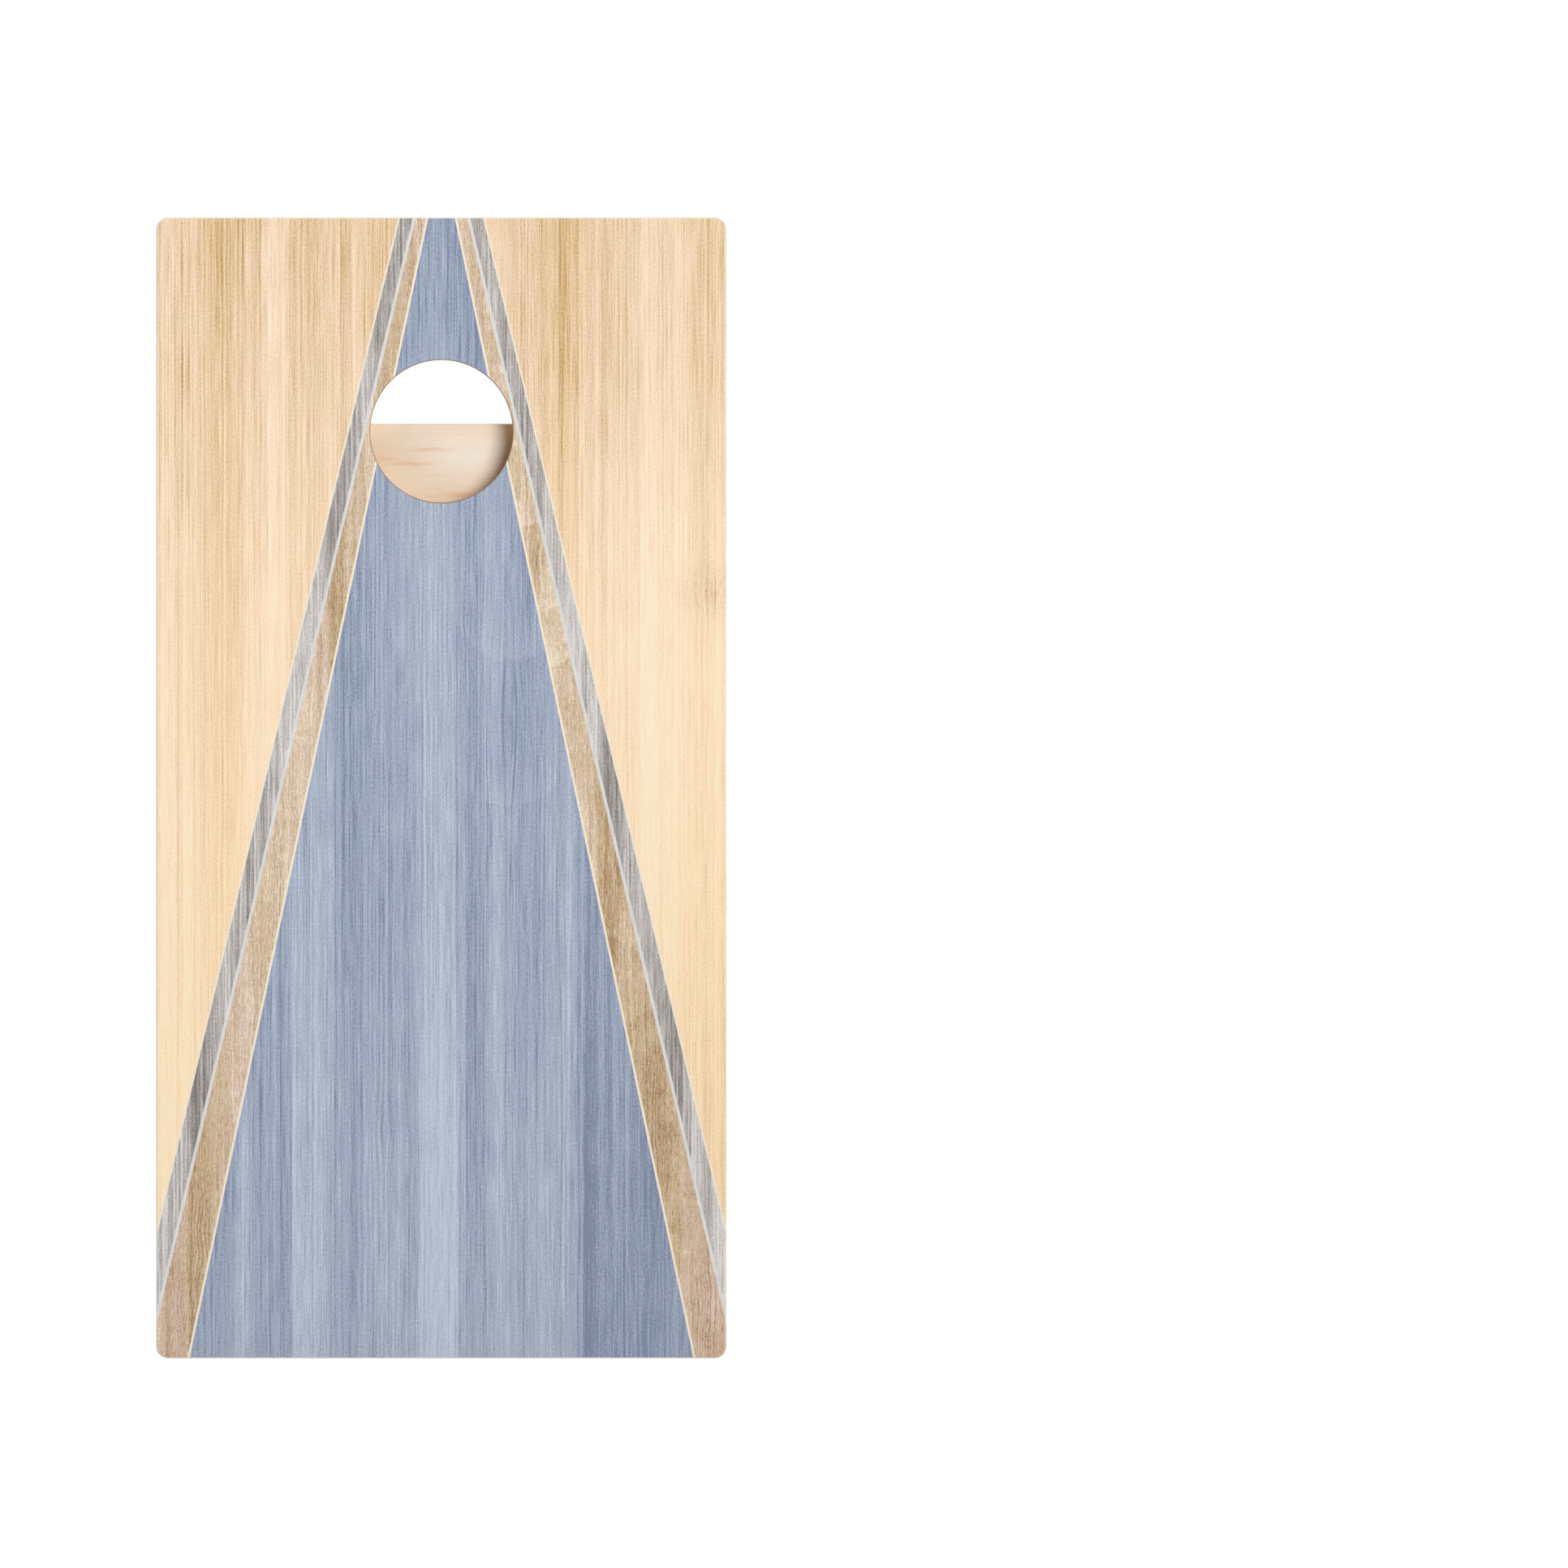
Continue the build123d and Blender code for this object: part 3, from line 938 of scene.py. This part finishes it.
def lumber(
    name,
    along,
    pith,
    seed,
    figure=0.9,
    coarseness=0.7,
    pale=PINE_PALE,
    flames=(),
    painted_shading=(),
    knots=(),
):
    """Pale pine sawn from a log whose heart runs along X or Z.

    pith is where that heart lies, in the direction across the board and in Y. Each knot
    goes through the board from face to face: its place along, its Y and its size. Flames
    are darker tongues. painted_shading is painted shade and painted light: broad darker
    and paler patches laid on the colour.
    """
    paint = Paint(name)
    length = paint.x if along == "X" else paint.z
    across = paint.z if along == "X" else paint.x
    drift = paint.noise(length / 0.40, across / 0.12 + seed, paint.y / 0.12, 2.0) * 0.020
    ripple = paint.noise(length / 0.06, across / 0.02, paint.y / 0.02 + seed) * 0.0012
    aside = across - pith[0]
    behind = paint.y - pith[1]
    eyes = 0.0
    rims = 0.0
    for place, depth_place, size in knots:
        up = (length - place) / (size * 1.25)
        over = (paint.y - depth_place) / size + across * 3.0
        distance = (up * up + over * over).math("SQRT")
        near = (1.4 - distance * 0.40).clamped()
        drift = drift + near * near * size * 0.9
        distance = distance + paint.noise(length / size, seed, paint.y / size, 2.0) * 0.5
        eyes = eyes + paint.ramp(distance, KNOT_EYE_STOPS)
        rims = rims + paint.ramp(distance, KNOT_RIM_STOPS)
    radius = (aside * aside + behind * behind).math("SQRT") + drift + ripple
    rings = radius / RING_GAP
    ring = rings.math("FRACT")
    late = paint.ramp(ring, ((0.0, 0.0), (0.55, 0.25), (0.88, 1.0), (0.97, 0.35), (1.0, 0.0)))
    strength = 0.5 + paint.noise(rings.math("FLOOR") * 0.37, seed, 0.0) * 1.2
    if along == "X":
        fine = paint.noise(paint.x / 0.040, paint.y / 0.0010, paint.z / 0.0010, 2.0)
    else:
        fine = paint.noise(paint.x / 0.0010, paint.y / 0.0010, paint.z / 0.040, 2.0)
    blush = paint.noise(length / 0.30, across / 0.03, paint.y / 0.03 + seed, 2.0)
    base = paint.ramp(0.5 + fine * coarseness + blush * 0.8, ((0.1, PINE_DARK), (0.9, pale)))
    colour = paint.mix((late * strength * figure).clamped(), base, PINE_LATE_WOOD)
    if knots:
        heart = paint.ramp(0.5 + fine * 1.2, KNOT_HEART)
        colour = paint.mix((eyes * 0.9).clamped(), colour, heart)
        colour = paint.mix((rims * 0.75).clamped(), colour, KNOT_RIM)
    # Painted shade and painted light: broad darker and paler patches mixed into the colour.
    for middle, reach, depth, tone in painted_shading:
        painted_patch = flame(paint, middle, reach, seed, raggedness=0.5)
        colour = paint.mix((painted_patch * depth).clamped(), colour, tone)
    for number, (middle, reach, depth) in enumerate(flames):
        tongue = flame(paint, middle, reach, seed + number * 3.0)
        colour = paint.mix((tongue * depth).clamped(), colour, PINE_FLAME)
    return paint.finish(colour, 0.58 + fine * 0.15, height=fine - late * 0.3, depth=0.00008)


def repaint(node, material):
    """Gives a CAD node's object one material."""
    slots = frame["nodes"][node].material_slots
    for slot in slots:
        slot.material = material


repaint("deck_panel", plywood())

# Tongues of darker figure in the cross brace: middle, reach and depth of each
BRACE_FLAMES = (
    ((-0.062, 0.962), (0.018, 0.0050), 0.7),
    ((-0.034, 0.956), (0.034, 0.0035), 0.7),
    ((-0.012, 0.971), (0.032, 0.0030), 0.6),
    ((0.018, 0.923), (0.026, 0.0032), 1.0),
    ((-0.130, 0.940), (0.040, 0.0050), 0.6),
    ((0.130, 0.950), (0.050, 0.0050), 0.6),
)
# Painted shade towards the hole's left and lower rims and painted light right of its middle:
# middle, reach, depth and tone of each
BRACE_PAINTED_SHADING = (
    ((-0.080, 0.972), (0.090, 0.050), 0.80, (206, 180, 148)),
    ((-0.005, 0.916), (0.100, 0.036), 0.70, (206, 182, 156)),
    ((0.030, 0.962), (0.056, 0.022), 0.90, (238, 228, 216)),
)
brace_pine = lumber(
    "pine_brace",
    "X",
    (0.86, 0.10),
    47.0,
    figure=0.14,
    coarseness=0.45,
    pale=(243, 231, 218),
    flames=BRACE_FLAMES,
    painted_shading=BRACE_PAINTED_SHADING,
)
repaint("leg_cross_brace", brace_pine)

# Each of the other boards is cut from another place of its own log.
for node, along, pith, seed, knots in (
    ("side_rail_left", "Z", (-0.34, 0.09), 2.0, ((0.31, 0.020, 0.010), (0.84, -0.012, 0.008))),
    ("side_rail_right", "Z", (0.33, -0.08), 9.0, ((0.45, -0.005, 0.011), (0.98, 0.026, 0.006))),
    ("leg_left", "Z", (-0.20, 0.07), 17.0, ((1.045, 0.020, 0.006),)),
    ("leg_right", "Z", (0.28, -0.05), 23.0, ()),
    ("front_end_rail", "X", (-0.03, 0.08), 29.0, ((0.17, 0.012, 0.009),)),
    ("rear_end_rail", "X", (1.26, -0.06), 37.0, ((-0.09, 0.006, 0.007),)),
    ("centre_brace", "X", (0.56, 0.06), 41.0, ((-0.13, 0.022, 0.008),)),
):
    repaint(node, lumber(f"pine_{node}", along, pith, seed, knots=knots))

# ---------------------------------------------------------------- hardware


def plated_steel(name, tint, roughness, metallic):
    """Zinc-plated steel with a faint mottle."""
    paint = Paint(name)
    mottle = paint.noise(paint.x / 0.003, paint.y / 0.003, paint.z / 0.003, 3.0)
    dull = tuple(channel * 0.82 for channel in tint)
    colour = paint.ramp(0.5 + mottle * 1.5, ((0.0, dull), (1.0, tint)))
    fine = paint.noise(paint.x / 0.0006, paint.y / 0.0006, paint.z / 0.0006, 2.0)
    dullness = roughness + mottle * 0.25
    return paint.finish(colour, dullness, height=fine, depth=0.00002, Metallic=metallic)


zinc = plated_steel("zinc_plate", (218, 221, 226), 0.32, 0.9)
screw_zinc = plated_steel("screw_plate", (226, 217, 194), 0.46, 0.72)

# A 3/8 in carriage bolt with 16 threads to the inch
SHANK_RADIUS = 0.0047625
BOLT_HEAD_HEIGHT = 0.0048
BOLT_HEAD_RIM = 0.001
DOME_STEPS = 8
THREAD_PITCH = 0.0254 / 16
THREAD_DEPTH = 0.0009
THREAD_LENGTH = 0.040
TIP_DEPTH = 1.4 * THREAD_DEPTH
TURN_STEPS = 32
RINGS_PER_TURN = 8


def threaded_bolt(name, node, side):
    """A domed bolt with its thread cut as a helix, in the place of the plain CAD bolt."""
    low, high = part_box(node)
    axis_y = (low.y + high.y) / 2
    axis_z = (low.z + high.z) / 2
    head_radius = (high.z - low.z) / 2
    length = high.x - low.x - BOLT_HEAD_HEIGHT
    thread_start = THREAD_LENGTH - length
    rise = BOLT_HEAD_HEIGHT - BOLT_HEAD_RIM
    dome = (head_radius**2 + rise**2) / (2 * rise)
    profile = []
    for step in range(1, DOME_STEPS + 1):
        radius = head_radius * step / DOME_STEPS
        profile.append((radius, BOLT_HEAD_HEIGHT - dome + math.sqrt(dome**2 - radius**2)))
    profile += [(head_radius, 0.0), (SHANK_RADIUS, 0.0), (SHANK_RADIUS, thread_start)]
    ring_gap = THREAD_PITCH / RINGS_PER_TURN
    rings = int(THREAD_LENGTH / ring_gap)
    heights = [thread_start - ring_gap * step for step in range(1, rings - 1)]
    mesh = bmesh.new()

    def ring(radius_at, height):
        """One ring of points about the bolt, head at the outer side of the board."""
        points = []
        for step in range(TURN_STEPS):
            turn = math.tau * step / TURN_STEPS
            radius = radius_at(turn)
            x = side * height
            points.append(mesh.verts.new((x, radius * math.sin(turn), radius * math.cos(turn))))
        return points

    def join(first, second):
        """The band of faces between two rings."""
        for step in range(TURN_STEPS):
            after = (step + 1) % TURN_STEPS
            mesh.faces.new((first[step], first[after], second[after], second[step]))

    loops = [ring(lambda turn, r=radius: r, height) for radius, height in profile]
    for height in heights:
        fade = min(1.0, (thread_start - height) / THREAD_PITCH)

        def thread(turn, height=height, fade=fade):
            """The thread's radius at one turn about the bolt."""
            phase = (side * height / THREAD_PITCH + turn / math.tau) % 1.0
            return SHANK_RADIUS - THREAD_DEPTH * fade * (1.0 - abs(2.0 * phase - 1.0))

        loops.append(ring(thread, height))
    loops.append(ring(lambda turn: SHANK_RADIUS - THREAD_DEPTH, -length + ring_gap))
    loops.append(ring(lambda turn: SHANK_RADIUS - TIP_DEPTH, -length))
    for first, second in zip(loops, loops[1:]):
        join(first, second)
    crown = mesh.verts.new((side * BOLT_HEAD_HEIGHT, 0.0, 0.0))
    for step in range(TURN_STEPS):
        mesh.faces.new((crown, loops[0][(step + 1) % TURN_STEPS], loops[0][step]))
    mesh.faces.new(loops[-1])
    seat = high.x - BOLT_HEAD_HEIGHT if side > 0 else low.x + BOLT_HEAD_HEIGHT
    bmesh.ops.translate(mesh, verts=mesh.verts[:], vec=(seat, axis_y, axis_z))
    bmesh.ops.recalc_face_normals(mesh, faces=mesh.faces[:])
    for face in mesh.faces:
        face.smooth = len(face.verts) < 5
    bolt = new_piece(name, mesh, zinc, "board")
    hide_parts(node)


CAST_EDGE = 0.0006


def cast_nut(name, node, body):
    """The wing nut with its cast edges rounded, in the place of the sharp CAD one."""
    mesh = bmesh.new()
    mesh.from_mesh(frame["nodes"][node].data)
    bmesh.ops.remove_doubles(mesh, verts=mesh.verts[:], dist=WELD_DISTANCE)
    nut = new_piece(name, mesh, zinc, body)
    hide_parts(node)
    soften = nut.modifiers.new("cast_edges", "BEVEL")
    soften.width = CAST_EDGE
    soften.segments = 3


for hand, side in (("left", -1), ("right", 1)):
    threaded_bolt(f"threaded_bolt_{hand}", f"carriage_bolt_{hand}", side)
    repaint(f"spacer_washer_{hand}", zinc)
    repaint(f"clamp_washer_{hand}", zinc)
    cast_nut(f"cast_wing_nut_{hand}", f"wing_nut_{hand}", f"{hand}_wing_nut")
for group in ("frame_corner", "centre_brace", "deck_pocket", "leg_brace"):
    repaint(f"{group}_screws", screw_zinc)

# ---------------------------------------------------------------- studio

WHITE = (1.0, 1.0, 1.0, 1.0)
FLOOR_REACH = 20.0
FLOOR_DROP = 0.0005
FLOOR_GREYS = ((0.0, (121, 121, 120)), (1.0, (130, 130, 129)))
FLOOR_GLOW = 0.72


def studio_floor():
    """A wide grey floor just below the board, glowing to white for the camera only."""
    mesh = bmesh.new()
    bmesh.ops.create_grid(mesh, x_segments=1, y_segments=1, size=FLOOR_REACH)
    data = bpy.data.meshes.new("studio_floor")
    mesh.to_mesh(data)
    mesh.free()
    floor = bpy.data.objects.new("studio_floor", data)
    bpy.context.scene.collection.objects.link(floor)
    floor.location.z = cad_low.z - FLOOR_DROP
    paint = Paint("pale_floor")
    mottle = paint.noise(paint.x / 0.4, paint.y / 0.4, 0.0, 3.0)
    colour = paint.ramp(0.5 + mottle, FLOOR_GREYS)
    glow = paint.seen_by_camera() * FLOOR_GLOW
    finished = paint.finish(colour, 0.85, Emission_Color=WHITE, Emission_Strength=glow)
    data.materials.append(finished)


def sun(name, strength, softness, direction):
    """Soft parallel light that travels along a direction."""
    data = bpy.data.lights.new(name, "SUN")
    data.energy = strength
    data.angle = math.radians(softness)
    lamp = bpy.data.objects.new(name, data)
    lamp.rotation_euler = Vector(direction).to_track_quat("-Z", "Y").to_euler()
    bpy.context.scene.collection.objects.link(lamp)


def white_light(background, strength):
    """Sets a background node to white of one strength, and returns its output."""
    background.inputs["Color"].default_value = WHITE
    background.inputs["Strength"].default_value = strength
    return background.outputs[0]


def by_ray(tree, kind, others, these):
    """One light for a kind of ray, and another for all others."""
    path = tree.nodes.new("ShaderNodeLightPath")
    choice = tree.nodes.new("ShaderNodeMixShader")
    tree.links.new(path.outputs[kind], choice.inputs[0])
    tree.links.new(others, choice.inputs[1])
    tree.links.new(these, choice.inputs[2])
    return choice.outputs[0]


def world(light, gloss, backdrop):
    """An even surround: dim for soft light, paler in reflections, white to the camera."""
    surround = bpy.data.worlds.new("studio")
    surround.use_nodes = True
    tree = surround.node_tree
    soft = white_light(tree.nodes["Background"], light)
    pale = white_light(tree.nodes.new("ShaderNodeBackground"), gloss)
    bright = white_light(tree.nodes.new("ShaderNodeBackground"), backdrop)
    unseen = by_ray(tree, "Is Glossy Ray", soft, pale)
    shown = by_ray(tree, "Is Camera Ray", unseen, bright)
    tree.links.new(shown, tree.nodes["World Output"].inputs["Surface"])
    bpy.context.scene.world = surround


def camera(view_width, distance, aside, height):
    """Square-on camera with parallel rays, looking along +Y."""
    data = bpy.data.cameras.new("camera")
    data.type = "ORTHO"
    data.ortho_scale = view_width
    eye = bpy.data.objects.new("camera", data)
    middle = (deck_low.x + deck_high.x) / 2
    eye.location = (middle + aside, deck_low.y - distance, height)
    eye.rotation_euler = (math.radians(90), 0.0, 0.0)
    bpy.context.scene.collection.objects.link(eye)
    bpy.context.scene.camera = eye


studio_floor()
world(light=0.03, gloss=0.25, backdrop=1.05)
sun("key", 3.04, 30.0, (-0.395, 1.0, -0.17))
sun("back", 1.35, 50.0, (0.30, -1.0, -0.30))
sun("left_side", 1.1, 50.0, (1.0, -0.50, -0.30))
sun("right_side", 1.0, 50.0, (-1.0, -0.50, -0.30))
sun("top", 0.9, 50.0, (0.1, -0.3, -1.0))
camera(view_width=1.6759, distance=4.0, aside=0.3661, height=0.6137)
bpy.context.scene.view_settings.view_transform = "Standard"
